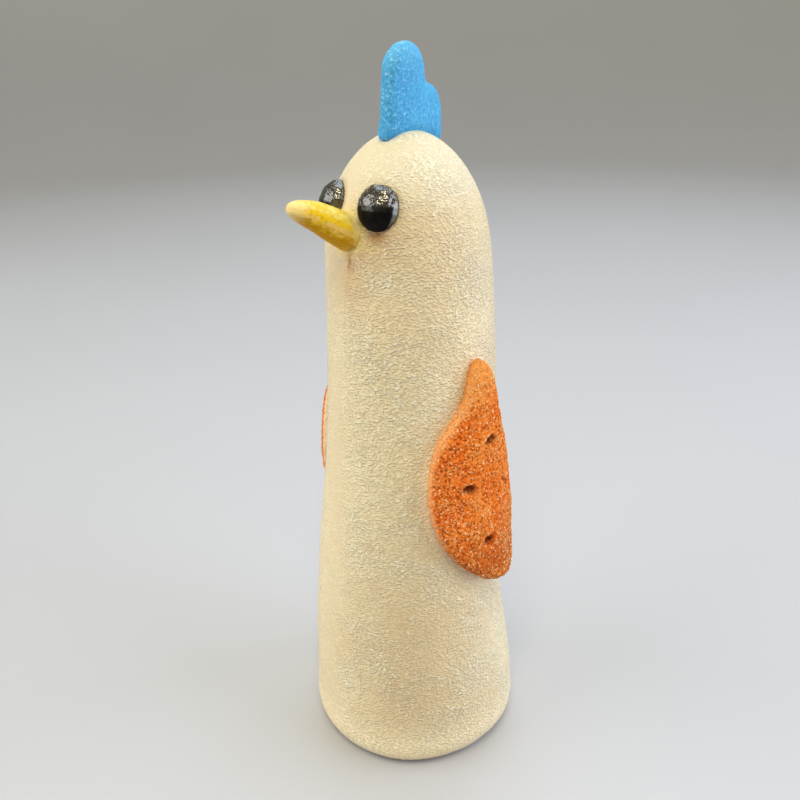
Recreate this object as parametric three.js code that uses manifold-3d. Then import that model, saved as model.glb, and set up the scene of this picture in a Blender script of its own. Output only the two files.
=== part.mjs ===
// Hand-built ceramic bird: a tall column of pale sandy clay with a domed head, and small
// pieces modelled apart and stuck on: a blue two-lobed comb, a yellow beak, two black ball
// eyes and two orange teardrop wings pricked with a pointed tool.
// Millimetres, +Z up. The origin is the middle of the flat underside, the bird faces -Y and
// its left side is +X. Headings are degrees round the column from the front, + to the left.
import * as THREE from 'three';
import { mergeVertices } from 'three/addons/utils/BufferGeometryUtils.js';
import Module from 'manifold-3d';

const wasm = await Module();
wasm.setup();

// Gap between a stuck-on piece and the body
const SEAM = 0.3;

// Body: a tapering column whose radius is given every LEVEL_STEP up from the floor
const BODY_HEIGHT = 180.8;
const LEVEL_STEP = 20;
const COLUMN_RADII = [32, 30.9, 28.9, 26.8, 25.1, 23.6, 22.8, 21.9, 20.6];
const CROWN_START = 148;
const BODY_SIDES = 60;
const COLUMN_RINGS = 22;
const CROWN_RINGS = 11;
// The column wanders a little as it rises: its drift towards SWAY_HEADING at each level
const SWAY = [0, -0.3, -1.3, -1.6, -1, -0.3, 0, -0.1, -0.6, -1];
const SWAY_HEADING = 138;
// The rolled edge round the foot is pressed rounder over an arc near the front left
const FOOT_ROUNDING = 7.3;
const FOOT_PRESSED = 1.2;
const FOOT_PRESSED_HEADING = 74;
const FOOT_PRESSED_ARC = 45;
const FOOT_RINGS = 5;

// Comb: a slab standing front to back on the crown, outline as [y, z]
const COMB_THICKNESS = 4.5;
const COMB_EDGE = 1.1;
const COMB_ROOT = 174;
const COMB_OUTLINE = [
  [-8.3, 178], [-7.3, 184], [-6.9, 191], [-5.8, 196.9], [-1.1, 200.1],
  [2.7, 197.6], [4.1, 193.4], [4.4, 190.9], [7.2, 190.1], [9.3, 187.2], [9.9, 182], [9.6, 176],
];

// Beak: a cone with a bent centre line, stations from inside the head to the tip
const BEAK_SIDES = 20;
const BEAK_RINGS = 12;
const BEAK_LINE = [[-13, 155.2], [-18.5, 158.1], [-24, 161.3], [-30, 164.7], [-36.4, 167.3]];
const BEAK_ROOT_HALF_WIDTH = 5.8;
const BEAK_ROOT_HALF_HEIGHT = 5.4;
const BEAK_TAPER = 0.58;
const BEAK_BLUNTNESS = 6;

// Eyes: flattened balls pressed into the head
const LEFT_EYE = { heading: 26.2, z: 165.3, sunk: 1.4 };
const RIGHT_EYE = { heading: -23.5, z: 164.6, sunk: 0.6 };
const EYE_HALF_WIDTH = 5.1;
const EYE_HALF_HEIGHT = 5.5;
const EYE_HALF_DEPTH = 4.2;

// Wings: teardrop slabs wrapped on the flanks, outline as [heading, z] from the tip forwards
const WING_THICKNESS = 4.2;
const WING_EDGE = 1.7;
const WING_SIDES = 44;
const WING_OUTLINE = [
  [90.5, 128.2], [85.3, 125], [79, 116.9], [67.5, 110.8], [59.5, 104], [57, 96], [59.3, 86],
  [66.5, 77], [80.6, 68.5], [100, 60.3], [119, 57], [133, 60.5], [137.5, 70], [129, 84],
  [118, 97.5], [106.3, 112], [97, 125],
];
const WING_MIDDLE = [93, 92];
// The right wing sits this much further back than the left one
const WING_RIGHT_BACK = 4;
// Tool pricks, as [heading, z]
const PRICKS = [[94.9, 105.4], [79.2, 93.4], [112.8, 88.4], [92.8, 75.7], [117.5, 66.5]];
const PRICK_HALF_WIDTH = 1.9;
const PRICK_HALF_HEIGHT = 1.3;
const PRICK_DEPTH = 1.6;

const TURN = Math.PI / 180;

// Cubic through evenly spaced values, so that the column has no kinks between its sizes
function smoothSeries(values, position) {
  const i = Math.min(Math.max(Math.floor(position), 0), values.length - 2);
  const t = position - i;
  const at = (k) => {
    if (k < 0) return 2 * values[0] - values[1];
    if (k >= values.length) return 2 * values[k - 1] - values[k - 2];
    return values[k];
  };
  const [a, b, c, d] = [at(i - 1), at(i), at(i + 1), at(i + 2)];
  return b + 0.5 * t * (c - a + t * (2 * a - 5 * b + 4 * c - d + t * (3 * (b - c) + d - a)));
}

function columnRadius(z) {
  const radius = smoothSeries(COLUMN_RADII, Math.min(z, CROWN_START) / LEVEL_STEP);
  if (z <= CROWN_START) return radius;
  const rise = Math.min((z - CROWN_START) / (BODY_HEIGHT - CROWN_START), 1);
  return radius * Math.sqrt(1 - rise * rise);
}

// Sideways drift of the centre line at a height, nothing at the base
function sway(z) {
  const drift = smoothSeries(SWAY, z / LEVEL_STEP);
  const heading = SWAY_HEADING * TURN;
  return new THREE.Vector2(drift * Math.sin(heading), -drift * Math.cos(heading));
}

// Point at a heading and height, lifted off the body's side
function onBody(headingDegrees, z, lift = 0) {
  const centre = sway(z);
  const radius = columnRadius(z) + lift;
  const heading = headingDegrees * TURN;
  return new THREE.Vector3(centre.x + radius * Math.sin(heading), centre.y - radius * Math.cos(heading), z);
}

// A closed mesh becomes a solid once its shared corners are merged and slivers dropped
function toSolid(geometry) {
  const bare = new THREE.BufferGeometry();
  bare.setAttribute('position', geometry.getAttribute('position').clone());
  if (geometry.index) bare.setIndex(geometry.index.clone());
  const merged = mergeVertices(bare, 1e-3);
  const corners = merged.index.array;
  const kept = [];
  for (let i = 0; i < corners.length; i += 3) {
    const [a, b, c] = [corners[i], corners[i + 1], corners[i + 2]];
    if (a !== b && b !== c && c !== a) kept.push(a, b, c);
  }
  return new wasm.Manifold(new wasm.Mesh({
    numProp: 3,
    vertProperties: merged.getAttribute('position').array,
    triVerts: new Uint32Array(kept),
  }));
}

function toGeometry(solid) {
  const mesh = solid.getMesh();
  const geometry = new THREE.BufferGeometry();
  geometry.setAttribute('position', new THREE.BufferAttribute(mesh.vertProperties, 3));
  geometry.setIndex(new THREE.BufferAttribute(mesh.triVerts, 1));
  geometry.computeVertexNormals();
  return geometry;
}

// Closed skin over rings of equal length: a fan at each end and bands between.
// Rings run from the first end to the last, each anticlockwise as seen from the last.
function skin(firstEnd, rings, lastEnd) {
  const count = rings[0].length;
  const points = [firstEnd, ...rings.flat(), lastEnd];
  const faces = [];
  for (let i = 0; i < count; i++) {
    const next = (i + 1) % count;
    faces.push(0, 1 + next, 1 + i);
    for (let k = 0; k + 1 < rings.length; k++) {
      const low = 1 + k * count;
      const high = low + count;
      faces.push(low + i, low + next, high + next, low + i, high + next, high + i);
    }
    const top = 1 + (rings.length - 1) * count;
    faces.push(top + i, top + next, points.length - 1);
  }
  const geometry = new THREE.BufferGeometry();
  const flat = points.flatMap((p) => [p.x, p.y, p.z]);
  geometry.setAttribute('position', new THREE.Float32BufferAttribute(flat, 3));
  geometry.setIndex(faces);
  return geometry;
}

// Radius of the rolled foot edge at a heading
function footRounding(heading) {
  const away = Math.abs(heading - FOOT_PRESSED_HEADING) / FOOT_PRESSED_ARC;
  return FOOT_ROUNDING + (away < 1 ? FOOT_PRESSED * Math.cos((away * Math.PI) / 2) ** 2 : 0);
}

// Body skin, optionally grown outwards, which is what the stuck-on pieces are cut by
function bodyGeometry(grow = 0) {
  const ringOf = (pointAt) => Array.from({ length: BODY_SIDES }, (_, i) => pointAt((360 * i) / BODY_SIDES));
  const rings = [];
  for (let i = 0; i < FOOT_RINGS; i++) {
    const angle = (i / FOOT_RINGS) * (Math.PI / 2);
    rings.push(ringOf((heading) => {
      const rounding = footRounding(heading);
      return onBody(heading, rounding * (1 - Math.cos(angle)), grow - rounding * (1 - Math.sin(angle)));
    }));
  }
  for (let i = 0; i < COLUMN_RINGS; i++) {
    rings.push(ringOf((heading) => {
      const foot = footRounding(heading);
      return onBody(heading, foot + ((CROWN_START - foot) * i) / COLUMN_RINGS, grow);
    }));
  }
  for (let i = 0; i < CROWN_RINGS; i++) {
    const angle = (i / CROWN_RINGS) * (Math.PI / 2);
    const z = CROWN_START + (BODY_HEIGHT - CROWN_START) * Math.sin(angle);
    rings.push(ringOf((heading) => onBody(heading, z, grow)));
  }
  const crown = onBody(0, BODY_HEIGHT, 0);
  crown.z += grow;
  return skin(new THREE.Vector3(0, 0, 0), rings, crown);
}

function combSolid() {
  const outline = new THREE.SplineCurve(COMB_OUTLINE.map(([y, z]) => new THREE.Vector2(y, z)));
  const shape = new THREE.Shape();
  shape.moveTo(COMB_OUTLINE[0][0], COMB_ROOT);
  for (const point of outline.getSpacedPoints(34)) shape.lineTo(point.x, point.y);
  shape.lineTo(COMB_OUTLINE.at(-1)[0], COMB_ROOT);
  const slab = new THREE.ExtrudeGeometry(shape, {
    depth: COMB_THICKNESS - 2 * COMB_EDGE,
    bevelThickness: COMB_EDGE,
    bevelSize: COMB_EDGE,
    bevelOffset: -COMB_EDGE,
    bevelSegments: 3,
  });
  // The shape's x and y become the bird's y and z, and its depth runs along x
  slab.translate(0, 0, -COMB_THICKNESS / 2 + COMB_EDGE);
  slab.applyMatrix4(new THREE.Matrix4().set(0, 0, 1, 0, 1, 0, 0, 0, 0, 1, 0, 0, 0, 0, 0, 1));
  return toSolid(slab);
}

function beakSolid() {
  const line = new THREE.CatmullRomCurve3(BEAK_LINE.map(([y, z]) => new THREE.Vector3(0, y, z)));
  const across = new THREE.Vector3(1, 0, 0);
  const rings = [];
  for (let k = 0; k < BEAK_RINGS; k++) {
    const t = Math.sin((k / BEAK_RINGS) * (Math.PI / 2));
    const centre = line.getPointAt(t);
    const upward = new THREE.Vector3().crossVectors(across, line.getTangentAt(t)).negate();
    const size = (1 - BEAK_TAPER * t) * Math.sqrt(1 - t ** BEAK_BLUNTNESS);
    const ring = [];
    for (let i = 0; i < BEAK_SIDES; i++) {
      const angle = (2 * Math.PI * i) / BEAK_SIDES;
      ring.push(centre.clone()
        .addScaledVector(across, BEAK_ROOT_HALF_WIDTH * size * Math.cos(angle))
        .addScaledVector(upward, BEAK_ROOT_HALF_HEIGHT * size * Math.sin(angle)));
    }
    rings.push(ring);
  }
  return toSolid(skin(line.getPointAt(0), rings, line.getPointAt(1)));
}

// Outward direction of the body's side, tilted up where the radius shrinks
function bodyNormal(headingDegrees, z) {
  const slope = columnRadius(z + 0.5) - columnRadius(z - 0.5);
  const heading = headingDegrees * TURN;
  return new THREE.Vector3(Math.sin(heading), -Math.cos(heading), -slope).normalize();
}

function eyeSolid({ heading, z, sunk }) {
  const ball = new THREE.SphereGeometry(1, 20, 12);
  ball.scale(EYE_HALF_WIDTH, EYE_HALF_HEIGHT, EYE_HALF_DEPTH);
  const outward = bodyNormal(heading, z);
  const sideways = new THREE.Vector3(0, 0, 1).cross(outward).normalize();
  const upward = new THREE.Vector3().crossVectors(outward, sideways);
  const centre = onBody(heading, z).addScaledVector(outward, -sunk);
  const placing = new THREE.Matrix4().makeBasis(sideways, upward, outward).setPosition(centre);
  ball.applyMatrix4(placing);
  return toSolid(ball);
}

// Wing slab: rings of the outline, inset by a distance at the rounded edge and then shrunk
// to the middle, on the inner face and back over the outer one. side is 1 left, -1 right.
function wingSolid(side) {
  const headingOf = (leftHeading) => (side > 0 ? leftHeading : -(leftHeading + WING_RIGHT_BACK));
  const perDegree = columnRadius(WING_MIDDLE[1]) * TURN;
  const corners = WING_OUTLINE.map(([heading, z]) => new THREE.Vector3(heading * perDegree, z, 0));
  const curve = new THREE.CatmullRomCurve3(corners, true, 'centripetal');
  const middle = new THREE.Vector3(WING_MIDDLE[0] * perDegree, WING_MIDDLE[1], 0);
  const edge = [];
  for (let i = 0; i < WING_SIDES; i++) {
    const along = curve.getTangentAt(i / WING_SIDES);
    edge.push({ point: curve.getPointAt(i / WING_SIDES), inward: new THREE.Vector3(-along.y, along.x, 0) });
  }
  const ringAt = (inset, shrink, lift) => edge.map(({ point, inward }) => {
    const flat = point.clone().addScaledVector(inward, inset).lerp(middle, shrink);
    return onBody(headingOf(flat.x / perDegree), flat.y, SEAM + lift);
  });
  const steps = 3;
  const rings = [ringAt(WING_EDGE, 0.66, 0), ringAt(WING_EDGE, 0.33, 0), ringAt(0.5, 0, 0), ringAt(0, 0, 0.6)];
  for (let i = 0; i <= steps; i++) {
    const angle = (i / steps) * (Math.PI / 2);
    const inset = WING_EDGE * (1 - Math.cos(angle));
    rings.push(ringAt(inset, 0, WING_THICKNESS - WING_EDGE * (1 - Math.sin(angle))));
  }
  rings.push(ringAt(WING_EDGE, 0.25, WING_THICKNESS), ringAt(WING_EDGE, 0.6, WING_THICKNESS));
  const centreAt = (lift) => onBody(headingOf(WING_MIDDLE[0]), WING_MIDDLE[1], SEAM + lift);
  if (side < 0) rings.forEach((ring) => ring.reverse());
  let wing = toSolid(skin(centreAt(0), rings, centreAt(WING_THICKNESS)));
  for (const [heading, z] of PRICKS) {
    const hole = new THREE.SphereGeometry(1, 10, 6);
    hole.scale(PRICK_HALF_WIDTH, PRICK_HALF_HEIGHT, PRICK_DEPTH);
    const outward = bodyNormal(headingOf(heading), z);
    const sideways = new THREE.Vector3(0, 0, 1).cross(outward).normalize();
    const upward = new THREE.Vector3().crossVectors(outward, sideways);
    const mouth = onBody(headingOf(heading), z, SEAM + WING_THICKNESS);
    hole.applyMatrix4(new THREE.Matrix4().makeBasis(sideways, upward, outward).setPosition(mouth));
    wing = wing.subtract(toSolid(hole));
  }
  return wing;
}

function glaze(color, roughness) {
  return new THREE.MeshStandardMaterial({ color, roughness, metalness: 0 });
}

const creamGlaze = glaze(0xd8cba6, 0.8);
const blueGlaze = glaze(0x3f9bd6, 0.75);
const yellowGlaze = glaze(0xd9b233, 0.4);
const blackGlaze = glaze(0x15161a, 0.15);
const orangeClay = glaze(0xc8602e, 0.85);

const bird = new THREE.Group();
const grownBody = toSolid(bodyGeometry(SEAM));

function place(name, solid, material) {
  const mesh = new THREE.Mesh(toGeometry(solid), material);
  mesh.name = name;
  bird.add(mesh);
}

place('body', toSolid(bodyGeometry()), creamGlaze);
place('comb', combSolid().subtract(grownBody), blueGlaze);
place('beak', beakSolid().subtract(grownBody), yellowGlaze);
place('eye_left', eyeSolid(LEFT_EYE).subtract(grownBody), blackGlaze);
place('eye_right', eyeSolid(RIGHT_EYE).subtract(grownBody), blackGlaze);
place('wing_left', wingSolid(1), orangeClay);
place('wing_right', wingSolid(-1), orangeClay);

export default bird;
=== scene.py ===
"""Looks of a hand-built ceramic bird: sandy cream body, blue comb, mottled yellow beak,
glossy black ball eyes and coarse orange wings pricked with a tool.

Every piece starts from its solid in the frame: the body is sampled from the inside by rays,
the small pieces are refined into even meshes, and each then gets its relief in real mesh.
Lengths are metres, written as millimetres times MM, but a relief is in millimetres until it
moves a mesh. Headings are degrees round the body from the front (-Y), + towards the bird's
left (+X). Colours are linear.
"""
import math

import bpy
import numpy as np
from mathutils import Matrix, Vector, kdtree, noise
from mathutils.bvhtree import BVHTree


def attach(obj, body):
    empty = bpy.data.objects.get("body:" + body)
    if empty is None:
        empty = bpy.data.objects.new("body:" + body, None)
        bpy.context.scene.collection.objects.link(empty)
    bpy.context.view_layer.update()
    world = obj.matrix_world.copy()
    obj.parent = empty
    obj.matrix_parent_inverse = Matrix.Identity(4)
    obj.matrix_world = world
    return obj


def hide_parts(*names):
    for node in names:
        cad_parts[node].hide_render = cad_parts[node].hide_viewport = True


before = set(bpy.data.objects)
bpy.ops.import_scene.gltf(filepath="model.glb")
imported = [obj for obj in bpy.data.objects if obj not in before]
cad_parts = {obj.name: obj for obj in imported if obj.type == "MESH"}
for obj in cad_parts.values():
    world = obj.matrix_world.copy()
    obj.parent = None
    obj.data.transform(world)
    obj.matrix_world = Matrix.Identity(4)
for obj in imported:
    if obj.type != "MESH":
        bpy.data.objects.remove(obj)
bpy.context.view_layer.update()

MM = 0.001
BODY, COMB, BEAK = "body", "comb", "beak"
EYES = ("eye_left", "eye_right")
WINGS = ("wing_left", "wing_right")
LEFT, RIGHT = 1, -1

# Camera: the heading that it looks from, its distance from the axis, its shift to its own left
# and its height, its pitch down and its roll in degrees, and its lens in millimetres
VIEW_HEADING = 48
CAMERA_DISTANCE = 201.4 * MM
CAMERA_ASIDE = 3.2 * MM
CAMERA_HEIGHT = 204 * MM
CAMERA_PITCH = 25.36
CAMERA_ROLL = 1.05
LENS = 36
SENSOR = 36
NEAREST_SEEN = 5 * MM

# Lights: name, heading from the camera's, elevation, width, height, watts, colour
LIGHTS = (
    ("left_softbox", -78, 20, 0.85, 1.05, 7.7, (0.95, 1.0, 1.11)),
    ("right_softbox", 80, 20, 0.85, 1.05, 8.9, (0.91, 1.01, 1.31)),
    ("front_lamp", -5, 62, 0.34, 0.34, 4.8, (1.0, 0.94, 0.72)),
    ("ceiling", 165, 62, 0.8, 0.8, 4.6, (0.86, 1.0, 1.26)),
)
LIGHT_DISTANCE = 0.95
LIGHT_TARGET = (0, 0, 0.11)
ROOM_GLOW = (0.38, 0.345, 0.24)

# Paper sweep: flat from a hub under the object as far as its start, then a quarter round
SWEEP_HUB = 0.02
SWEEP_START = 1.1
SWEEP_RADIUS = 0.9
SWEEP_STEPS = 24
SWEEP_SIDES = 72

# Sampling of the body: rays from a stretch of its axis, so many round and so many up, and how
# many samples wide they are smoothed round the body, up it and round its rolled foot
COLUMNS = 264
FOOT_HEART = 12 * MM
CROWN_HEART = 146 * MM
FOOT_ROWS = 44
COLUMN_ROWS = 232
CROWN_ROWS = 70
UP, ROUND = 0, 1
SMOOTH_UP = 3.6
SMOOTH_ROUND = 2.8
SMOOTH_FOOT = 2.5
FOOT_OVERLAP = 6

# How far the stuck-on pieces are pressed into the clay, and where that starts and ends
PRESS = 0.7 * MM
PRESS_FULL = 0.3 * MM
PRESS_REACH = 0.9 * MM

# Reliefs in layers of smooth lumps: size, height in millimetres, seed
BODY_DENTS = ((21 * MM, 0.10, 1), (8 * MM, 0.05, 2))
BODY_GRAIN = ((3.2 * MM, 0.05, 3), (1.9 * MM, 0.035, 4))
COMB_DENTS = ((7 * MM, 0.16, 5), (2.4 * MM, 0.05, 6))
COMB_GRAIN = ((1.1 * MM, 0.03, 7),)
BEAK_DENTS = ((5.5 * MM, 0.13, 8), (1.8 * MM, 0.03, 9), (0.8 * MM, 0.02, 10))
EYE_DENTS = ((3.4 * MM, 0.05, 0),)
EYE_WRINKLES = ((1.8 * MM, 0.07, 1), (0.9 * MM, 0.07, 2))
WING_DENTS = ((9 * MM, 0.16, 0), (3 * MM, 0.08, 1), (1.0 * MM, 0.07, 2))
EYE_SEEDS = (20, 30)
WING_SEEDS = (40, 50)

# The body's grain is weaker in patches of a size and seed, over the crown, and in a stretch
# beside the front: its heading, and how many degrees it reaches to the bird's left and right
GRAIN_PATCHES = (14 * MM, 11)
CROWN_START = 158 * MM
CROWN_END = 176 * MM
SMOOTH_HEADING = -8
SMOOTH_TO_LEFT = 9
SMOOTH_TO_RIGHT = 28

# Height over which the body's relief comes in, so that it stands flat
FLAT_FOOT = (0.2 * MM, 2.5 * MM)

# Halos on the body around the stuck-on pieces: attribute, nodes, start and end of the fade
HALOS = (
    ("by_wing", WINGS, 0.4 * MM, 3.4 * MM),
    ("by_eye", EYES, 0.3 * MM, 1.6 * MM),
    ("by_beak", (BEAK,), 0.3 * MM, 2.4 * MM),
    ("by_comb", (COMB,), 0.3 * MM, 1.0 * MM),
)

# Fineness of the small pieces' meshes, passes that soften them, and the growth that gives back
# what softening took, different for the two hand-rolled eyes
COMB_VOXEL = 0.22 * MM
COMB_PASSES = 240
COMB_GROWTH = 0.2 * MM
BEAK_VOXEL = 0.2 * MM
BEAK_PASSES = 8
EYE_VOXEL = 0.16 * MM
EYE_PASSES = 10
EYE_GROWTHS = (0.42 * MM, 0.08 * MM)
WING_VOXEL = 0.23 * MM
WING_PASSES = 110
WING_GROWTH = 0.12 * MM

# Comb: where along Y its rough front gives way to its smooth back, where its root ends above
# the body, and how far its front edge bulges forward, and as much again at its root
COMB_FRONT = (-8 * MM, 3 * MM)
COMB_ROOT = (0.5 * MM, 4 * MM)
COMB_BULGE = 0.4 * MM

# Beak: its line, the direction that faces up, square to it, how much thicker it grows at its
# root and, on top of that, at its tip, how much longer, and where its pale root and point end
BEAK_LINE = (0, -0.89, 0.46)
BEAK_UP = (0, 0.46, 0.89)
BEAK_ROOT_GROWTH = 0.08 * MM
BEAK_TIP_GROWTH = 0.6 * MM
BEAK_LONGER = 0.3 * MM
BEAK_ROOT_END = (0.4 * MM, 3.2 * MM)
BEAK_POINT_LENGTH = 5 * MM

# Sand of the wings: spacing, smallest and largest grain, and height in millimetres; grains
# above the first level of -1 to 1 are pale, those below the second are sunken, with grit and painted
# shade
SAND_SPACING = 0.56 * MM
SAND_SIZES = (0.2, 0.44)
SAND_HEIGHT = 0.28
PALE_GRAINS = 0.3
DARK_AND_SHADED_GRAINS = -0.3

# Heights between which the wings' smooth tip and their low end, darker with painted shade, fade
# out, how far from the body their relief comes in and their pale foot ends, and how many
# degrees of heading their redder fore part reaches
WING_TIP = (124 * MM, 112 * MM)
WING_LOW = (86 * MM, 66 * MM)
WING_RELIEF = (0.2 * MM, 1.2 * MM)
WING_FOOT = (0.2 * MM, 1.8 * MM)
WING_FORE = 24

# Pale band along the wings' front rim: the rim is where the surface faces outwards, from 0 to 1,
# by less than this, and the band has this width and is rubbed down so many millimetres
RIM_FACING = 0.35
BAND_WIDTH = 1.3 * MM
BAND_DEPTH = 0.45
# The wings' flank is all that faces outwards by less than the start, and fades out at the end;
# the right wing shows nothing else in the photo, and there it is wider and paler
FLANK_START = 0.3
FLANK_ENDS = {LEFT: 0.8, RIGHT: 0.97}
FLANK_PALENESS = {LEFT: 0.2, RIGHT: 1.0}

# Tool pricks on the left wing: heading, height, half width, half height, lean in degrees, and
# how much clay stands round them; the right wing mirrors them, some degrees further back
PRICKS = (
    (94.9, 105.4 * MM, 1.6 * MM, 1.05 * MM, 2, 1.0),
    (79.2, 93.4 * MM, 2.0 * MM, 1.1 * MM, -25, 1.0),
    (108.5, 90.4 * MM, 1.6 * MM, 0.45 * MM, -63, 0.1),
    (93.2, 75.2 * MM, 1.7 * MM, 1.2 * MM, -28, 1.0),
    (114.2, 67.8 * MM, 1.6 * MM, 0.5 * MM, 48, 0.15),
)
PRICK_DEPTH = 1.6
PRICK_LIP = 0.7
PRICK_BROW = 0.25
PRICK_REACH = 8 * MM
RIGHT_WING_BACK = 4

# Brown marks of the body, partly bleeds and creases, partly painted shadow under the eye and the
# beak: heading, height, half width, half height, depth, strength
BLEEDS_AND_SHADOWS = (
    (25.0, 159.3 * MM, 2.6 * MM, 2.2 * MM, 0.05, 0.95),
    (10.0, 154.4 * MM, 3.2 * MM, 1.8 * MM, 0.1, 0.35),
    (4.8, 152.2 * MM, 0.55 * MM, 2.8 * MM, 0.28, 0.95),
    (8.0, 150.6 * MM, 0.4 * MM, 1.5 * MM, 0.2, 0.6),
)
# Broad patches where the clay shows more tan, and painted shade under the beak and the eye:
# heading, height, half width, half height, strength
TANS_AND_SHADES = (
    (43, 46 * MM, 11 * MM, 17 * MM, 0.55),
    (4, 148 * MM, 6 * MM, 8 * MM, 0.5),
    (30, 156 * MM, 6 * MM, 5 * MM, 0.5),
    (42, 162 * MM, 8 * MM, 6 * MM, 0.3),
    (27, 128 * MM, 6 * MM, 10 * MM, 0.15),
    (40, 27 * MM, 12 * MM, 9 * MM, 0.35),
    (7, 147 * MM, 8 * MM, 9 * MM, 0.4),
    (10, 174 * MM, 12 * MM, 6 * MM, 0.3),
    (50, 168 * MM, 9 * MM, 7 * MM, 0.3),
    (72, 157 * MM, 14 * MM, 12 * MM, 0.28),
    (48, 74 * MM, 12 * MM, 18 * MM, 0.3),
    (-120, 60 * MM, 14 * MM, 20 * MM, 0.4),
    (-150, 130 * MM, 10 * MM, 14 * MM, 0.3),
)
# Patches painted paler, partly thicker slip and partly painted light down the body's sides:
# heading, height, half width, half height, strength
PALES_AND_LIGHTS = (
    (94, 134 * MM, 9 * MM, 13 * MM, 0.5),
    (66, 118 * MM, 4.5 * MM, 9 * MM, 0.45),
    (53, 100 * MM, 5 * MM, 15 * MM, 0.35),
    (115, 31 * MM, 8 * MM, 18 * MM, 0.55),
    (-20, 75 * MM, 6 * MM, 45 * MM, 0.35),
    (9, 26 * MM, 9 * MM, 10 * MM, 0.3),
    (-160, 90 * MM, 10 * MM, 25 * MM, 0.35),
)
# Yellow smears beside the beak: heading, height, half width, half height, strength
SMEARS = (
    (18.0, 156.4 * MM, 3.4 * MM, 1.0 * MM, 0.45),
    (11.0, 160.6 * MM, 1.5 * MM, 3.6 * MM, 0.4),
)
# Small dark pits on the body: heading, height
PITS = (
    (58.3, 162.2 * MM),
    (45.7, 158.6 * MM),
    (50.7, 25.6 * MM),
    (30.0, 120.0 * MM),
    (-60.0, 90.0 * MM),
)
PIT_SIZE = (0.45 * MM, 0.35 * MM)
PIT_DEPTH = 0.35

# Colours of the body
CREAM = (0.80, 0.68, 0.42)
CREAM_DEEP = (0.77, 0.61, 0.35)
CREAM_ROSY = (0.68, 0.49, 0.31)
TAN_AND_SHADE = (0.62, 0.44, 0.22)
PALE_SLIP_AND_LIGHT = (0.97, 0.84, 0.54)
FOOT_PALER = (0.99, 0.83, 0.52)
CROWN_SHEEN = (0.75, 0.70, 0.50)
GRAIN_PIT_SHADE = (0.52, 0.38, 0.2)
GRAIN_TOP_HIGHLIGHT = (0.95, 0.89, 0.68)
SPECK = (0.2, 0.11, 0.05)
FOOT_LINE = (0.38, 0.18, 0.10)
BLEED_AND_SHADOW = (0.36, 0.16, 0.03)
SMEAR = (0.80, 0.60, 0.18)
EYE_HALO = (0.4, 0.24, 0.1)
BEAK_HALO = (0.80, 0.62, 0.16)
PAINTED_LIGHT_BY_WING = (1.0, 0.82, 0.54)
COMB_HALO = (0.4, 0.6, 0.7)

# Colours of the comb
BLUE = (0.030, 0.28, 0.52)
BLUE_THICK = (0.045, 0.34, 0.59)
BLUE_PIT = (0.015, 0.20, 0.43)
BLUE_FRONT = (0.012, 0.20, 0.45)
BLUE_TOP = (0.11, 0.46, 0.68)
BLUE_FLECK = (0.27, 0.60, 0.80)

# Colours of the beak
YELLOW = (0.68, 0.47, 0.045)
YELLOW_PALE = (0.72, 0.57, 0.14)
YELLOW_CHALKY = (0.80, 0.67, 0.30)
YELLOW_STRONG = (0.68, 0.42, 0.0)
BARE_CLAY = (0.68, 0.42, 0.13)
BEAK_BELOW = (0.48, 0.225, 0.0)
BEAK_BLOTCH = (0.46, 0.25, 0.006)
FLECK_PALE = (0.76, 0.54, 0.09)
FLECK_DARK = (0.50, 0.26, 0.0)
BEAK_ROOT = (0.80, 0.67, 0.34)
BEAK_POINT = (0.82, 0.67, 0.34)

# Colours of the eyes
BLACK = (0.002, 0.002, 0.002)
BLACK_THIN = (0.006, 0.004, 0.003)
EYE_SHEEN = (1.0, 0.94, 0.80)

# Colours of the wings
ORANGE = (0.90, 0.175, 0.009)
ORANGE_WARM = (0.94, 0.235, 0.02)
ORANGE_FORE = (0.88, 0.135, 0.004)
ORANGE_PATCH = (0.97, 0.33, 0.06)
ORANGE_PIT_SHADE = (0.46, 0.06, 0.001)
ORANGE_TOP_HIGHLIGHT = (0.98, 0.47, 0.13)
ORANGE_TIP = (1.0, 0.40, 0.08)
ORANGE_UNDER_SHADE = (0.45, 0.09, 0.012)
SAND_DARK_AND_SHADE = (0.33, 0.035, 0.001)
SAND_LIGHT = (0.98, 0.46, 0.15)
SAND_WHITE = (1.0, 0.78, 0.50)
HOLE_SHADE = (0.15, 0.018, 0.001)
EDGE_THIN = (0.95, 0.52, 0.20)
EDGE_BARE = (0.95, 0.70, 0.43)

# Colours of the floor
PAPER = (0.45, 0.447, 0.445)
PAPER_LIGHT = (0.48, 0.477, 0.475)
PAPER_WALL = (0.80, 0.80, 0.82)


# Numbers and directions

def ramp(values, start, end):
    """0 at start, 1 at end, smooth between."""
    t = np.clip((values - start) / (end - start), 0, 1)
    return t * t * (3 - 2 * t)


def fade(values, start, end):
    """1 at start, 0 at end, smooth between."""
    return 1 - ramp(values, start, end)


def bell(across, up):
    """1 in the middle, falling off to all sides."""
    return np.exp(-(across ** 2 + up ** 2))


def unit(vector):
    return np.array(vector) / np.linalg.norm(vector)


def row_dots(rows, others):
    return (rows * others).sum(axis=1)


def direction(heading, elevation=0.0):
    """Unit vector that points away from the axis at a heading and an elevation in degrees."""
    turn = math.radians(heading)
    rise = math.radians(elevation)
    return Vector((math.sin(turn) * math.cos(rise), -math.cos(turn) * math.cos(rise), math.sin(rise)))


def heading_of(points):
    return np.degrees(np.arctan2(points[:, 0], -points[:, 1]))


def lumps(points, size, seed):
    """Smooth noise of about -1 to 1 whose lumps are about size across."""
    shift = Vector((13.7, 5.1, 9.3)) * seed
    return np.array([noise.noise(Vector(point) / size + shift) for point in points.tolist()]) * 1.6


def layered(points, layers, seed=0):
    """Relief in millimetres from layers of lumps, whose seeds count on from this one."""
    return sum(height * lumps(points, size, seed + own) for size, height, own in layers)


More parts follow.
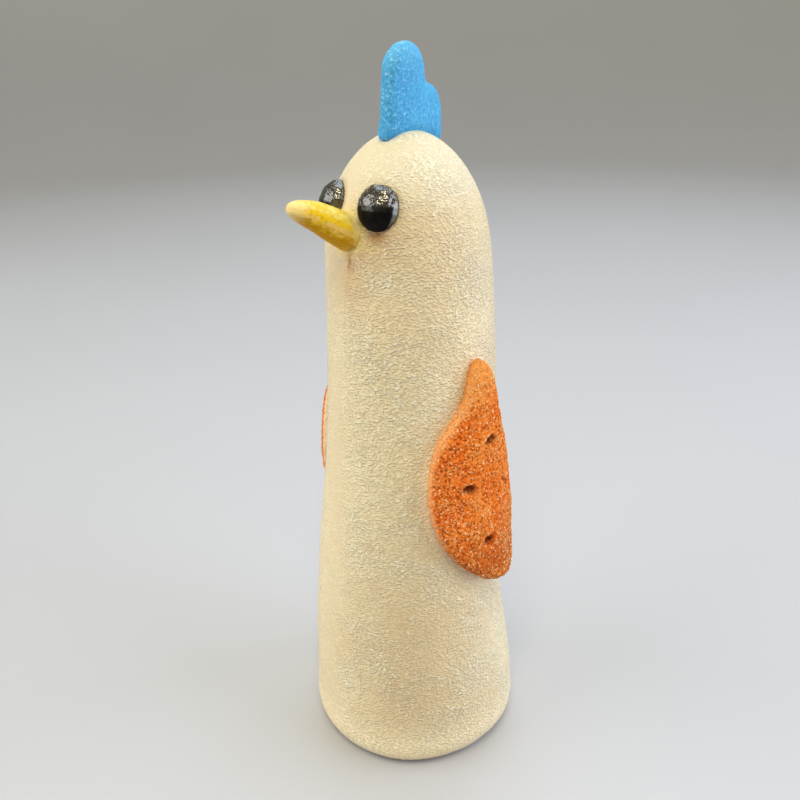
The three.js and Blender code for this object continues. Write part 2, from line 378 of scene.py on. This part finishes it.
def blurred(values, spread, axis):
    """Values smoothed along one axis by a bell curve spread samples wide."""
    reach = int(spread * 3) + 1
    weights = np.exp(-0.5 * (np.arange(-reach, reach + 1) / spread) ** 2)
    weights /= weights.sum()
    padding = [(0, 0), (0, 0)]
    padding[axis] = (reach, reach)
    padded = np.pad(values, padding, mode="wrap" if axis == ROUND else "edge")
    count = values.shape[axis]
    total = np.zeros_like(values)
    for k, weight in enumerate(weights):
        total += weight * np.take(padded, range(k, k + count), axis=axis)
    return total


# Meshes

def node_surface(name):
    """Corners and faces of a solid of the frame."""
    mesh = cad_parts[name].data
    faces = [tuple(face.vertices) for face in mesh.polygons]
    return points_of(mesh), faces


def search_tree(name):
    points, faces = node_surface(name)
    return BVHTree.FromPolygons(points.tolist(), faces)


def point_tree(points):
    """Search tree that gives the order number of the nearest of these points."""
    tree = kdtree.KDTree(len(points))
    for k, point in enumerate(points.tolist()):
        tree.insert(point, k)
    tree.balance()
    return tree


def distances(points, tree):
    """Distance of each point to the tree's surface."""
    return np.array([tree.find_nearest(point)[3] for point in points.tolist()])


def mesh_from(name, points, faces):
    mesh = bpy.data.meshes.new(name)
    mesh.from_pydata(points.tolist(), [], faces)
    mesh.shade_smooth()
    return mesh


def points_of(mesh):
    points = np.empty(len(mesh.vertices) * 3)
    mesh.vertices.foreach_get("co", points)
    return points.reshape(-1, 3)


def normals_of(mesh):
    normals = np.empty(len(mesh.vertices) * 3)
    mesh.vertex_normals.foreach_get("vector", normals)
    return normals.reshape(-1, 3)


def set_points(mesh, points):
    mesh.vertices.foreach_set("co", points.ravel())
    mesh.update()


def raise_relief(mesh, relief):
    """Moves each point along its normal by a relief in millimetres."""
    set_points(mesh, points_of(mesh) + normals_of(mesh) * (relief * MM)[:, None])


def add_values(mesh, name, values):
    """Stores one number per point for the material to read."""
    attribute = mesh.attributes.new(name, "FLOAT", "POINT")
    attribute.data.foreach_set("value", np.asarray(values, dtype=np.float32))


def add_object(name, data):
    thing = bpy.data.objects.new(name, data)
    bpy.context.scene.collection.objects.link(thing)
    return thing


def add_piece(name, mesh, node, material):
    piece = add_object(name, mesh)
    mesh.materials.append(material)
    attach(piece, "root")
    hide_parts(node)


def refined(node, voxel, passes, growth=0.0):
    """Even mesh of a small solid, softened and then grown by what softening took."""
    points, faces = node_surface(node)
    source = add_object("source", mesh_from("source", points, faces))
    remesh = source.modifiers.new("even", "REMESH")
    remesh.mode = "VOXEL"
    remesh.voxel_size = voxel
    soften = source.modifiers.new("soften", "SMOOTH")
    soften.factor = 0.5
    soften.iterations = passes
    depsgraph = bpy.context.evaluated_depsgraph_get()
    mesh = bpy.data.meshes.new_from_object(source.evaluated_get(depsgraph))
    mesh.shade_smooth()
    bpy.data.objects.remove(source)
    set_points(mesh, points_of(mesh) + normals_of(mesh) * growth)
    return mesh


def press_in(points):
    """Moves the root of a stuck-on piece into the body's clay, and leaves the rest."""
    moved = points.copy()
    for i, point in enumerate(points.tolist()):
        _, normal, _, gap = body_tree.find_nearest(point)
        if gap < PRESS_REACH:
            moved[i] -= np.array(normal) * PRESS * fade(gap, PRESS_FULL, PRESS_REACH)
    return moved


# Body

body_tree = search_tree(BODY)


def body_rows():
    """Start height and elevation of the rays of each row, from the foot's middle to the crown."""
    rows = [(FOOT_HEART, -math.pi / 2 * (1 - i / FOOT_ROWS)) for i in range(1, FOOT_ROWS)]
    step = (CROWN_HEART - FOOT_HEART) / COLUMN_ROWS
    rows += [(FOOT_HEART + step * i, 0.0) for i in range(COLUMN_ROWS)]
    rows += [(CROWN_HEART, math.pi / 2 * i / CROWN_ROWS) for i in range(CROWN_ROWS)]
    return rows


def body_aims(rows):
    """Direction of every ray, row by row."""
    turns = np.arange(COLUMNS) * 2 * math.pi / COLUMNS
    aims = np.zeros((len(rows), COLUMNS, 3))
    for r, (_, rise) in enumerate(rows):
        aims[r, :, 0] = np.sin(turns) * math.cos(rise)
        aims[r, :, 1] = -np.cos(turns) * math.cos(rise)
        aims[r, :, 2] = math.sin(rise)
    return aims


def body_reach(rows, aims):
    """How far each ray gets inside the body, smoothed to lose the solid's facets."""
    reach = np.zeros((len(rows), COLUMNS))
    for r, (height, _) in enumerate(rows):
        start = Vector((0, 0, height))
        for c in range(COLUMNS):
            reach[r, c] = body_tree.ray_cast(start, Vector(aims[r, c]))[3]
    above = FOOT_ROWS - 1
    reach[above:] = blurred(reach[above:], SMOOTH_ROUND, ROUND)
    reach[above:] = blurred(reach[above:], SMOOTH_UP, UP)
    foot = slice(FOOT_ROWS // 3, above + FOOT_OVERLAP)
    reach[foot] = blurred(reach[foot], SMOOTH_FOOT, ROUND)
    return reach


def body_faces(row_count):
    """Rings of faces between the first point, under the foot, and the last, on the crown."""
    faces = []
    last_row = 1 + (row_count - 1) * COLUMNS
    crown = last_row + COLUMNS
    for c in range(COLUMNS):
        n = (c + 1) % COLUMNS
        faces.append((0, 1 + n, 1 + c))
        faces.append((last_row + c, last_row + n, crown))
        for r in range(row_count - 1):
            low = 1 + r * COLUMNS
            high = low + COLUMNS
            faces.append((low + c, low + n, high + n, high + c))
    return faces


def body_mesh():
    rows = body_rows()
    aims = body_aims(rows)
    grid = aims * body_reach(rows, aims)[:, :, None]
    grid[:, :, 2] += np.array([height for height, _ in rows])[:, None]
    grid[:, :, 2] = np.maximum(grid[:, :, 2], 0)
    crown = body_tree.ray_cast(Vector((0, 0, CROWN_HEART)), Vector((0, 0, 1)))[0]
    points = np.vstack([[(0, 0, 0)], grid.reshape(-1, 3), [tuple(crown)]])
    return mesh_from("body_clay", points, body_faces(len(rows)))


def blot(points, heading, height, half_width, half_height):
    """Bell-shaped patch on the body, 1 in its middle."""
    radius = np.hypot(points[:, 0], points[:, 1])
    turn = (heading_of(points) - heading + 180) % 360 - 180
    return bell(np.radians(turn) * radius / half_width, (points[:, 2] - height) / half_height)


def blots(points, patches):
    """Sum of patches, each with its strength as its last number, no more than 1."""
    total = sum(strength * blot(points, *place) for *place, strength in patches)
    return np.minimum(total, 1)


def grain_strength(points):
    """How strong the body's grain is: weaker in patches, over the crown and beside the front."""
    uneven = ramp(lumps(points, *GRAIN_PATCHES), -0.8, 0.8)
    crown = ramp(points[:, 2], CROWN_START, CROWN_END)
    turn = heading_of(points) - SMOOTH_HEADING
    beside_front = bell(turn / np.where(turn > 0, SMOOTH_TO_LEFT, SMOOTH_TO_RIGHT), 0)
    return (0.68 + 0.32 * uneven) * (1 - 0.5 * crown) * (1 - 0.65 * beside_front)


def dress_body(material):
    mesh = body_mesh()
    points = points_of(mesh)
    rough = grain_strength(points)
    flattened = points * np.array([1, 1, 1.4])
    relief = layered(points, BODY_DENTS) + rough * layered(flattened, BODY_GRAIN)
    for heading, height in PITS:
        relief -= PIT_DEPTH * blot(points, heading, height, *PIT_SIZE)
    for *place, depth, _ in BLEEDS_AND_SHADOWS:
        relief -= depth * blot(points, *place)
    raise_relief(mesh, relief * ramp(points[:, 2], *FLAT_FOOT))
    # Marks painted on the body: bleeds with painted shadow, tan with painted shade, pale with painted
    # light
    stains_and_shadows = [(*place, strength) for *place, _, strength in BLEEDS_AND_SHADOWS]
    for name, patches in (("stain_and_shadow", stains_and_shadows), ("tan", TANS_AND_SHADES), ("pale", PALES_AND_LIGHTS), ("yellow", SMEARS)):
        add_values(mesh, name, blots(points, patches))
    for name, nodes, start, end in HALOS:
        gap = np.min([distances(points, search_tree(node)) for node in nodes], axis=0)
        add_values(mesh, name, fade(gap, start, end))
    add_values(mesh, "rough", rough)
    add_piece("body_clay", mesh, BODY, material)


# Comb, beak and eyes

def dress_comb(material):
    mesh = refined(COMB, COMB_VOXEL, COMB_PASSES, COMB_GROWTH)
    points = points_of(mesh)
    front = fade(points[:, 1], *COMB_FRONT)
    root = fade(distances(points, body_tree), *COMB_ROOT)
    points[:, 1] -= COMB_BULGE * (1 + root) * front ** 2
    points = press_in(points)
    set_points(mesh, points)
    raise_relief(mesh, layered(points, COMB_DENTS) + (1 + front) * layered(points, COMB_GRAIN))
    add_values(mesh, "rough_face", front)
    add_piece("comb_slab", mesh, COMB, material)


def dress_beak(material):
    mesh = refined(BEAK, BEAK_VOXEL, BEAK_PASSES)
    points = points_of(mesh)
    line = unit(BEAK_LINE)
    along = points @ line
    outer = ramp(along, along.min(), along.max())
    normals = normals_of(mesh)
    ahead = (normals @ line)[:, None] * line
    thicker = BEAK_ROOT_GROWTH + BEAK_TIP_GROWTH * outer
    points += (normals - ahead) * thicker[:, None] + ahead * BEAK_LONGER
    points = press_in(points)
    set_points(mesh, points)
    raise_relief(mesh, layered(points, BEAK_DENTS))
    off_body = distances(points, body_tree)
    add_values(mesh, "underside", -(normals_of(mesh) @ unit(BEAK_UP)))
    add_values(mesh, "root", fade(off_body, *BEAK_ROOT_END))
    add_values(mesh, "point", ramp(off_body, off_body.max() - BEAK_POINT_LENGTH, off_body.max()))
    add_piece("beak_cone", mesh, BEAK, material)


def dress_eye(node, growth, seed, material):
    """A ball that is wrinkled on top, and has its glaze thick on top and on its outer flank."""
    mesh = refined(node, EYE_VOXEL, EYE_PASSES, growth)
    points = press_in(points_of(mesh))
    set_points(mesh, points)
    normals = normals_of(mesh)
    rise = normals[:, 2]
    outward = unit(points.mean(axis=0) * np.array([1, 1, 0]))
    wrinkled = 0.25 + 0.75 * ramp(rise, 0.05, 0.5)
    relief = layered(points, EYE_DENTS, seed) + wrinkled * layered(points, EYE_WRINKLES, seed)
    flank = ramp(normals @ outward, 0.78, 0.5) * ramp(rise, -0.7, -0.3)
    raise_relief(mesh, relief)
    add_values(mesh, "thick_glaze", np.maximum(flank, ramp(rise, 0.12, 0.5)))
    add_values(mesh, "wrinkled", wrinkled)
    add_piece(node + "_ball", mesh, node, material)


# Wings

def sand(points, seed):
    """Grains standing out of the clay and holes where some fell out.

    Gives the relief in millimetres, how much of a pale grain each point is, and how much of a
    sunken grain, which is dark with grit and with painted shade.
    """
    area = len(points) * WING_VOXEL ** 2
    count = int(area / SAND_SPACING ** 2)
    chosen = np.random.default_rng(seed).choice(len(points), count, replace=False)
    tree = point_tree(points[chosen])
    generator = np.random.default_rng(seed)
    sizes = generator.uniform(*SAND_SIZES, count) * MM
    heights = generator.uniform(-1, 1, count)
    relief = np.zeros(len(points))
    pale = np.zeros(len(points))
    dark = np.zeros(len(points))
    for i, point in enumerate(points.tolist()):
        _, k, gap = tree.find(point)
        shape = max(0.0, 1 - (gap / sizes[k]) ** 2)
        relief[i] = heights[k] * shape
        if heights[k] > PALE_GRAINS:
            pale[i] = min(1.0, shape * 2.5) * (heights[k] - PALE_GRAINS) / (1 - PALE_GRAINS)
        elif heights[k] < DARK_AND_SHADED_GRAINS:
            dark[i] = min(1.0, shape * 2)
    return relief * SAND_HEIGHT, pale, dark


def prick_relief(points, side):
    """Hooded holes and the clay pushed up round each, in millimetres, and how deep inside."""
    relief = np.zeros(len(points))
    inside = np.zeros(len(points))
    for heading, height, half_width, half_height, lean, rim in PRICKS:
        outward = direction(heading if side == LEFT else -(heading + RIGHT_WING_BACK))
        middle = body_tree.ray_cast(Vector((0, 0, height)), outward)[0]
        offset = points - np.array(middle)
        near = np.abs(offset @ np.array(outward)) < PRICK_REACH
        u = offset @ np.array(Vector((0, 0, 1)).cross(outward))
        v = offset[:, 2]
        tilt = math.radians(lean * side)
        across = (u * math.cos(tilt) + v * math.sin(tilt)) / half_width
        up = (v * math.cos(tilt) - u * math.sin(tilt)) / half_height
        hole = near * bell(across, up - 0.3 + 0.5 * across ** 2)
        lip = near * bell(across / 1.1, (up + 2.1) / 1.3)
        brow = near * bell(across / 1.3, (up - 1.8) / 0.7)
        relief += rim * (PRICK_LIP * lip + PRICK_BROW * brow) - PRICK_DEPTH * hole
        inside = np.maximum(inside, hole)
    return relief, inside


def front_band(points, normals, outwards, backwards):
    """How far into the band along the slab's front rim each point is, 1 on the rim itself."""
    rim = points[np.abs(row_dots(normals, outwards)) < RIM_FACING]
    tree = point_tree(rim)
    apart = points - np.array([tree.find(point)[0] for point in points.tolist()])
    risen = row_dots(apart, outwards)
    inward = np.sqrt(np.maximum(row_dots(apart, apart) - risen ** 2, 0))
    behind = row_dots(apart, backwards) / np.maximum(inward, 0.05 * MM)
    ahead = -row_dots(normals, backwards)
    front = ramp(np.maximum(behind, ahead), 0.2, 0.7)
    return front * fade(inward, 0.0, BAND_WIDTH) ** 1.5


def dress_wing(node, side, seed, material):
    """A slab on one side of the body, sandy except at its tip and its front rim."""
    mesh = refined(node, WING_VOXEL, WING_PASSES, WING_GROWTH)
    points = press_in(points_of(mesh))
    set_points(mesh, points)
    normals = normals_of(mesh)
    rise = normals[:, 2]
    outwards = points * np.array([1, 1, 0])
    outwards /= np.linalg.norm(outwards, axis=1)[:, None]
    backwards = outwards[:, [1, 0, 2]] * np.array([-side, side, 0])
    facing = row_dots(normals, outwards)
    off_body = distances(points, body_tree)
    band = front_band(points, normals, outwards, backwards)
    flank = fade(facing, FLANK_START, FLANK_ENDS[side])
    below_tip = ramp(points[:, 2], *WING_TIP)
    low = ramp(points[:, 2], *WING_LOW)

    pricked, inside = prick_relief(points, side)
    grit, pale, dark = sand(points, seed)
    grit *= (1 - 0.6 * np.maximum(inside, band)) * (1 + 0.5 * low) * (0.7 + 0.3 * below_tip)
    bevel = BAND_DEPTH * band * ramp(facing, 0.2, 0.9)
    outer = ramp(off_body, *WING_RELIEF)
    raise_relief(mesh, (layered(points, WING_DENTS, seed) + grit + pricked - bevel) * outer)

    edge = np.maximum(fade(off_body, *WING_FOOT), FLANK_PALENESS[side] * flank)
    edge = np.maximum(edge, 0.66 * band) * ramp(rise, -0.7, -0.1)
    turn = np.abs(heading_of(points))
    fore = fade(turn, turn.min(), turn.min() + WING_FORE)
    add_values(mesh, "edge", edge * (0.4 + 0.6 * below_tip))
    # painted shade on the downward-facing flank and over the wing's low end
    add_values(mesh, "under", np.maximum(flank * ramp(rise, -0.2, -0.8), 0.9 * low))
    add_values(mesh, "fore", 0.7 * below_tip * fore)
    add_values(mesh, "pale_grain", pale * outer)
    add_values(mesh, "dark_and_shaded_grain", dark * outer * (0.5 + 0.5 * below_tip))
    add_values(mesh, "hole", inside)
    add_values(mesh, "tip", 1 - below_tip)
    add_piece(node + "_slab", mesh, node, material)


# Materials

class Shader:
    """A Principled material and short ways to add the nodes that feed it."""

    def __init__(self, name, **plain):
        self.material = bpy.data.materials.new(name)
        self.material.use_nodes = True
        self.nodes = self.material.node_tree.nodes
        self.links = self.material.node_tree.links
        self.principled = self.nodes["Principled BSDF"]
        self.place = self.nodes.new("ShaderNodeTexCoord").outputs["Object"]
        for socket, value in plain.items():
            self.put(self.principled.inputs[socket.replace("_", " ")], value)

    def put(self, socket, value):
        """Links an output, or sets a plain number or colour."""
        if isinstance(value, bpy.types.NodeSocket):
            self.links.new(value, socket)
        elif isinstance(value, tuple):
            socket.default_value = (*value, 1.0)
        else:
            socket.default_value = value

    def where(self, stretch):
        """Place on the piece, squeezed or stretched along each axis."""
        if stretch is None:
            return self.place
        node = self.nodes.new("ShaderNodeMapping")
        node.inputs["Scale"].default_value = stretch
        self.links.new(self.place, node.inputs["Vector"])
        return node.outputs["Vector"]

    def noise(self, size, detail=2.0, roughness=0.5, stretch=None, warp=0.0):
        """Cloudy texture of 0 to 1, mostly 0.3 to 0.7, with clouds about size across."""
        node = self.nodes.new("ShaderNodeTexNoise")
        node.inputs["Scale"].default_value = 1 / size
        node.inputs["Detail"].default_value = detail
        node.inputs["Roughness"].default_value = roughness
        node.inputs["Distortion"].default_value = warp
        self.put(node.inputs["Vector"], self.where(stretch))
        return node.outputs["Fac"]

    def cells(self, size, output="Distance", stretch=None, soft=False):
        """Distance to scattered points about size apart, or a colour for each of them."""
        node = self.nodes.new("ShaderNodeTexVoronoi")
        node.feature = "SMOOTH_F1" if soft else "F1"
        node.inputs["Scale"].default_value = 1 / size
        self.put(node.inputs["Vector"], self.where(stretch))
        return node.outputs[output]

    def values(self, name):
        """Numbers that add_values stored under this name."""
        node = self.nodes.new("ShaderNodeAttribute")
        node.attribute_name = name
        return node.outputs["Fac"]

    def height(self):
        node = self.nodes.new("ShaderNodeSeparateXYZ")
        self.links.new(self.place, node.inputs["Vector"])
        return node.outputs["Z"]

    def remap(self, value, start, end, low=0.0, high=1.0):
        """Low up to start, high from end on, smooth between."""
        node = self.nodes.new("ShaderNodeMapRange")
        node.interpolation_type = "SMOOTHSTEP"
        node.inputs["From Min"].default_value = start
        node.inputs["From Max"].default_value = end
        node.inputs["To Min"].default_value = low
        node.inputs["To Max"].default_value = high
        self.put(node.inputs["Value"], value)
        return node.outputs["Result"]

    def math(self, operation, a, b):
        node = self.nodes.new("ShaderNodeMath")
        node.operation = operation
        self.put(node.inputs[0], a)
        self.put(node.inputs[1], b)
        return node.outputs["Value"]

    def plus(self, a, b):
        return self.math("ADD", a, b)

    def times(self, a, b):
        return self.math("MULTIPLY", a, b)

    def mix(self, factor, a, b):
        node = self.nodes.new("ShaderNodeMix")
        node.data_type = "RGBA"
        self.put(node.inputs["Factor"], factor)
        self.put(node.inputs["A"], a)
        self.put(node.inputs["B"], b)
        return node.outputs["Result"]

    def coated(self, color, coats):
        """Lays coats over a colour, each given as how much of it covers, and its colour."""
        for cover, coat in coats:
            color = self.mix(cover, color, coat)
        return color

    def bump(self, height, distance, strength=1.0, under=None):
        """Normal that shows a height, on top of another bump if one is under it."""
        node = self.nodes.new("ShaderNodeBump")
        node.inputs["Distance"].default_value = distance
        node.inputs["Strength"].default_value = strength
        self.put(node.inputs["Height"], height)
        if under is not None:
            self.links.new(under, node.inputs["Normal"])
        return node.outputs["Normal"]

    def finish(self, color, roughness, normal):
        self.put(self.principled.inputs["Base Color"], color)
        self.put(self.principled.inputs["Roughness"], roughness)
        self.put(self.principled.inputs["Normal"], normal)
        return self.material


def cream_glaze():
    s = Shader("cream_glaze")
    broad = s.noise(30 * MM, 3, 0.55, stretch=(1, 1, 0.6))
    patches = s.noise(4.5 * MM, 3, 0.6, stretch=(1, 1, 1.6))
    ridges = s.remap(s.noise(0.7 * MM, 1.5, 0.55, stretch=(1, 1, 1.5)), 0.35, 0.7)
    nubs = s.remap(s.cells(1.0 * MM, stretch=(1, 1, 1.6), soft=True), 0.6, 0.1)
    uneven = s.remap(s.noise(5 * MM, 2), 0.3, 0.6, 0.62, 1.0)
    grain = s.plus(s.times(nubs, 0.4), s.times(ridges, 0.6))
    grain = s.times(grain, s.times(uneven, s.values("rough")))
    specks = s.remap(s.cells(2.6 * MM), 0.05, 0.09, 1.0, 0.0)
    rare = s.remap(s.cells(2.6 * MM, "Color"), 0.80, 0.84)
    color = s.mix(s.remap(broad, 0.36, 0.66), CREAM, CREAM_DEEP)
    color = s.coated(color, (
        (s.remap(patches, 0.5, 0.72, 0.0, 0.4), CREAM_ROSY),
        # tan clay in patches, and painted shade under the beak and the eye
        (s.values("tan"), TAN_AND_SHADE),
        # paler slip in part, and painted light down the body's sides in part
        (s.values("pale"), PALE_SLIP_AND_LIGHT),
        # paler towards the foot, over its lowest 20 mm
        (s.remap(s.height(), 8 * MM, 20 * MM, 0.8, 0.0), FOOT_PALER),
        # painted sheen: the crown paler and less yellow towards its top
        (s.remap(s.height(), 160 * MM, 174 * MM, 0.0, 0.85), CROWN_SHEEN),
        # painted shade in the grain's hollows, and painted highlight on its tops, where the bump
        # rises
        (s.remap(grain, 0.05, 0.32, 0.45, 0.0), GRAIN_PIT_SHADE),
        (s.remap(grain, 0.38, 0.75, 0.0, 0.7), GRAIN_TOP_HIGHLIGHT),
        (s.times(s.times(specks, rare), 0.6), SPECK),
        (s.remap(s.height(), 0.4 * MM, 2.6 * MM, 0.9, 0.0), FOOT_LINE),
        # brown bleeds and creases, and painted shadow under the eye and the beak
        (s.values("stain_and_shadow"), BLEED_AND_SHADOW),
        (s.values("yellow"), SMEAR),
        (s.times(s.values("by_eye"), 0.35), EYE_HALO),
        (s.times(s.values("by_beak"), 0.5), BEAK_HALO),
        # painted light on the body beside the wings, over the shadow their rims cast
        (s.times(s.values("by_wing"), 0.7), PAINTED_LIGHT_BY_WING),
        (s.times(s.values("by_comb"), 0.25), COMB_HALO),
    ))
    return s.finish(color, s.remap(grain, 0.2, 0.6, 0.6, 0.36), s.bump(grain, 0.7 * MM))


def blue_glaze():
    s = Shader("blue_glaze")
    broad = s.noise(9 * MM, 3)
    grain = s.noise(0.8 * MM, 2.5, 0.6)
    front = s.values("rough_face")
    flecks = s.times(s.remap(grain, 0.54, 0.68), s.remap(front, 0.0, 1.0, 0.25, 0.65))
    color = s.mix(s.remap(broad, 0.35, 0.65), BLUE, BLUE_THICK)
    color = s.coated(color, (
        (s.remap(grain, 0.3, 0.48, 0.6, 0.0), BLUE_PIT),
        (s.times(front, 0.3), BLUE_FRONT),
        (s.remap(s.height(), 190 * MM, 198 * MM, 0.0, 0.4), BLUE_TOP),
        (flecks, BLUE_FLECK),
    ))
    coarse = s.bump(s.times(grain, s.remap(front, 0.0, 1.0, 0.4, 0.8)), 0.6 * MM)
    normal = s.bump(s.noise(0.42 * MM, 1.0), 0.12 * MM, under=coarse)
    return s.finish(color, s.remap(grain, 0.3, 0.7, 0.7, 0.5), normal)


def yellow_glaze():
    s = Shader("yellow_glaze", Specular_IOR_Level=0.06)
    wander = s.noise(4.0 * MM, 4, 0.6, stretch=(1.3, 0.6, 1.2), warp=0.5)
    mottle = s.noise(1.7 * MM, 3, 0.6)
    flecks = s.noise(0.95 * MM, 2, 0.6)
    underside = s.values("underside")
    low = s.plus(underside, s.remap(wander, 0.2, 0.8, -0.28, 0.28))
    bare = s.times(s.remap(low, 0.10, 0.28), s.remap(low, 0.66, 0.45))
    upper_root = s.times(s.values("root"), s.remap(underside, 0.35, -0.3, 0.1, 0.95))
    color = s.mix(s.remap(mottle, 0.4, 0.65), YELLOW, YELLOW_PALE)
    color = s.coated(color, (
        (s.remap(mottle, 0.62, 0.78, 0.0, 0.5), YELLOW_CHALKY),
        (s.remap(low, -0.42, -0.12, 0.0, 0.95), YELLOW_STRONG),
        (s.times(bare, s.remap(wander, 0.36, 0.6, 0.1, 0.65)), BARE_CLAY),
        (s.remap(low, 0.42, 0.66, 0.0, 0.9), BEAK_BELOW),
        (s.remap(mottle, 0.26, 0.42, 0.7, 0.0), BEAK_BLOTCH),
        (s.remap(flecks, 0.54, 0.72, 0.0, 0.4), FLECK_PALE),
        (s.remap(flecks, 0.3, 0.46, 0.55, 0.0), FLECK_DARK),
        (upper_root, BEAK_ROOT),
        (s.times(s.values("point"), 0.6), BEAK_POINT),
    ))
    return s.finish(color, s.remap(mottle, 0.3, 0.7, 0.4, 0.6), s.bump(flecks, 0.25 * MM, 0.9))


def black_glaze():
    """Mirrors strongly where the glaze is thick, and hardly elsewhere."""
    s = Shader("black_glaze", IOR=1.75, Specular_Tint=EYE_SHEEN)
    broad = s.noise(2.2 * MM, 3)
    wrinkled = s.values("wrinkled")
    color = s.mix(s.remap(broad, 0.4, 0.7), BLACK, BLACK_THIN)
    pinholes = s.bump(s.remap(s.cells(1.3 * MM), 0.0, 0.25), 0.05 * MM, 0.5)
    normal = s.bump(s.times(s.noise(1.1 * MM, 2), wrinkled), 0.3 * MM, under=pinholes)
    mirroring = s.remap(s.values("thick_glaze"), 0.0, 1.0, 0.04, 0.95)
    s.put(s.principled.inputs["Specular IOR Level"], mirroring)
    return s.finish(color, s.remap(wrinkled, 0.25, 1.0, 0.34, 0.14), normal)


def orange_clay():
    s = Shader("orange_clay", Specular_IOR_Level=0.12)
    broad = s.noise(12 * MM, 3)
    patches = s.noise(6 * MM, 2)
    grain = s.noise(0.62 * MM, 3, 0.6)
    pale_grain = s.values("pale_grain")
    edge = s.values("edge")
    color = s.mix(s.remap(broad, 0.38, 0.64), ORANGE, ORANGE_WARM)
    color = s.coated(color, (
        (s.values("fore"), ORANGE_FORE),
        (s.remap(patches, 0.48, 0.7, 0.0, 0.45), ORANGE_PATCH),
        # painted shade in the grain's hollows, and painted highlight on its tops, where the bump
        # rises
        (s.remap(grain, 0.28, 0.47, 0.65, 0.0), ORANGE_PIT_SHADE),
        (s.remap(grain, 0.55, 0.72, 0.0, 0.6), ORANGE_TOP_HIGHLIGHT),
        (s.times(s.values("tip"), 0.55), ORANGE_TIP),
        # painted shade under the wing and over its low end
        (s.times(s.values("under"), 0.6), ORANGE_UNDER_SHADE),
        # dark grit, with painted shade, in the sunken grains
        (s.times(s.values("dark_and_shaded_grain"), 0.7), SAND_DARK_AND_SHADE),
        (s.remap(pale_grain, 0.0, 0.6, 0.0, 0.75), SAND_LIGHT),
        (s.remap(pale_grain, 0.7, 1.0, 0.0, 0.9), SAND_WHITE),
        # painted shade down the tool pricks
        (s.times(s.values("hole"), 0.9), HOLE_SHADE),
        (s.times(edge, s.remap(grain, 0.3, 0.6, 0.5, 0.95)), EDGE_THIN),
        (s.remap(edge, 0.75, 1.0, 0.0, 0.9), EDGE_BARE),
    ))
    normal = s.bump(s.noise(0.36 * MM, 1.0), 0.16 * MM, under=s.bump(grain, 1.0 * MM))
    return s.finish(color, s.remap(grain, 0.3, 0.7, 0.9, 0.7), normal)


def pale_floor():
    s = Shader("pale_floor")
    color = s.mix(s.noise(0.25, 2), PAPER, PAPER_LIGHT)
    color = s.mix(s.remap(s.height(), 0.0, SWEEP_RADIUS), color, PAPER_WALL)
    return s.finish(color, 0.6, s.bump(s.noise(2 * MM, 2), 0.02 * MM, 0.3))


# Camera, light and floor

def add_camera():
    """Stands off at its heading, looks back down at the axis, and is rolled a little."""
    outward = direction(VIEW_HEADING)
    right = direction(VIEW_HEADING + 90)
    down = math.radians(CAMERA_PITCH)
    back = outward * math.cos(down) + Vector((0, 0, math.sin(down)))
    up = -outward * math.sin(down) + Vector((0, 0, math.cos(down)))
    lean = math.radians(CAMERA_ROLL)
    across = right * math.cos(lean) - up * math.sin(lean)
    upright = right * math.sin(lean) + up * math.cos(lean)
    data = bpy.data.cameras.new("camera")
    data.lens = LENS
    data.sensor_width = SENSOR
    data.clip_start = NEAREST_SEEN
    place = outward * CAMERA_DISTANCE - right * CAMERA_ASIDE + Vector((0, 0, CAMERA_HEIGHT))
    basis = Matrix((across, upright, back)).transposed().to_4x4()
    camera = add_object("camera", data)
    camera.matrix_world = Matrix.Translation(place) @ basis
    bpy.context.scene.camera = camera


def add_light(name, turn, elevation, width, height, power, color):
    """Flat panel at a heading from the camera's, facing the middle of the object."""
    data = bpy.data.lights.new(name, "AREA")
    data.shape = "RECTANGLE"
    data.size = width
    data.size_y = height
    data.energy = power
    data.color = color
    outward = direction(VIEW_HEADING + turn, elevation)
    light = add_object(name, data)
    light.location = Vector(LIGHT_TARGET) + outward * LIGHT_DISTANCE
    light.rotation_euler = (-outward).to_track_quat("-Z", "Y").to_euler()


def add_floor(material):
    """Round paper sweep: flat under the object, curving up far from it on every side."""
    profile = [(SWEEP_HUB, 0.0), (SWEEP_START, 0.0)]
    for i in range(1, SWEEP_STEPS + 1):
        bend = math.pi / 2 * i / SWEEP_STEPS
        radius = SWEEP_START + SWEEP_RADIUS * math.sin(bend)
        profile.append((radius, SWEEP_RADIUS * (1 - math.cos(bend))))
    turns = [2 * math.pi * k / SWEEP_SIDES for k in range(SWEEP_SIDES)]
    points = [(r * math.sin(turn), -r * math.cos(turn), z) for r, z in profile for turn in turns]
    faces = [tuple(range(SWEEP_SIDES))]
    for ring in range(len(profile) - 1):
        low = ring * SWEEP_SIDES
        high = low + SWEEP_SIDES
        for k in range(SWEEP_SIDES):
            n = (k + 1) % SWEEP_SIDES
            faces.append((low + k, high + k, high + n, low + n))
    floor = add_object("floor", mesh_from("floor", np.array(points), faces))
    floor.data.materials.append(material)


def add_surroundings():
    world = bpy.data.worlds.new("studio")
    world.use_nodes = True
    world.node_tree.nodes["Background"].inputs["Color"].default_value = (*ROOM_GLOW, 1.0)
    bpy.context.scene.world = world


# The scene

add_camera()
bpy.context.scene.view_settings.view_transform = "Standard"

dress_body(cream_glaze())
dress_comb(blue_glaze())
dress_beak(yellow_glaze())
eye_material = black_glaze()
for node, growth, seed in zip(EYES, EYE_GROWTHS, EYE_SEEDS):
    dress_eye(node, growth, seed, eye_material)
wing_material = orange_clay()
for node, side, seed in zip(WINGS, (LEFT, RIGHT), WING_SEEDS):
    dress_wing(node, side, seed, wing_material)

add_floor(pale_floor())
add_surroundings()
for light in LIGHTS:
    add_light(*light)
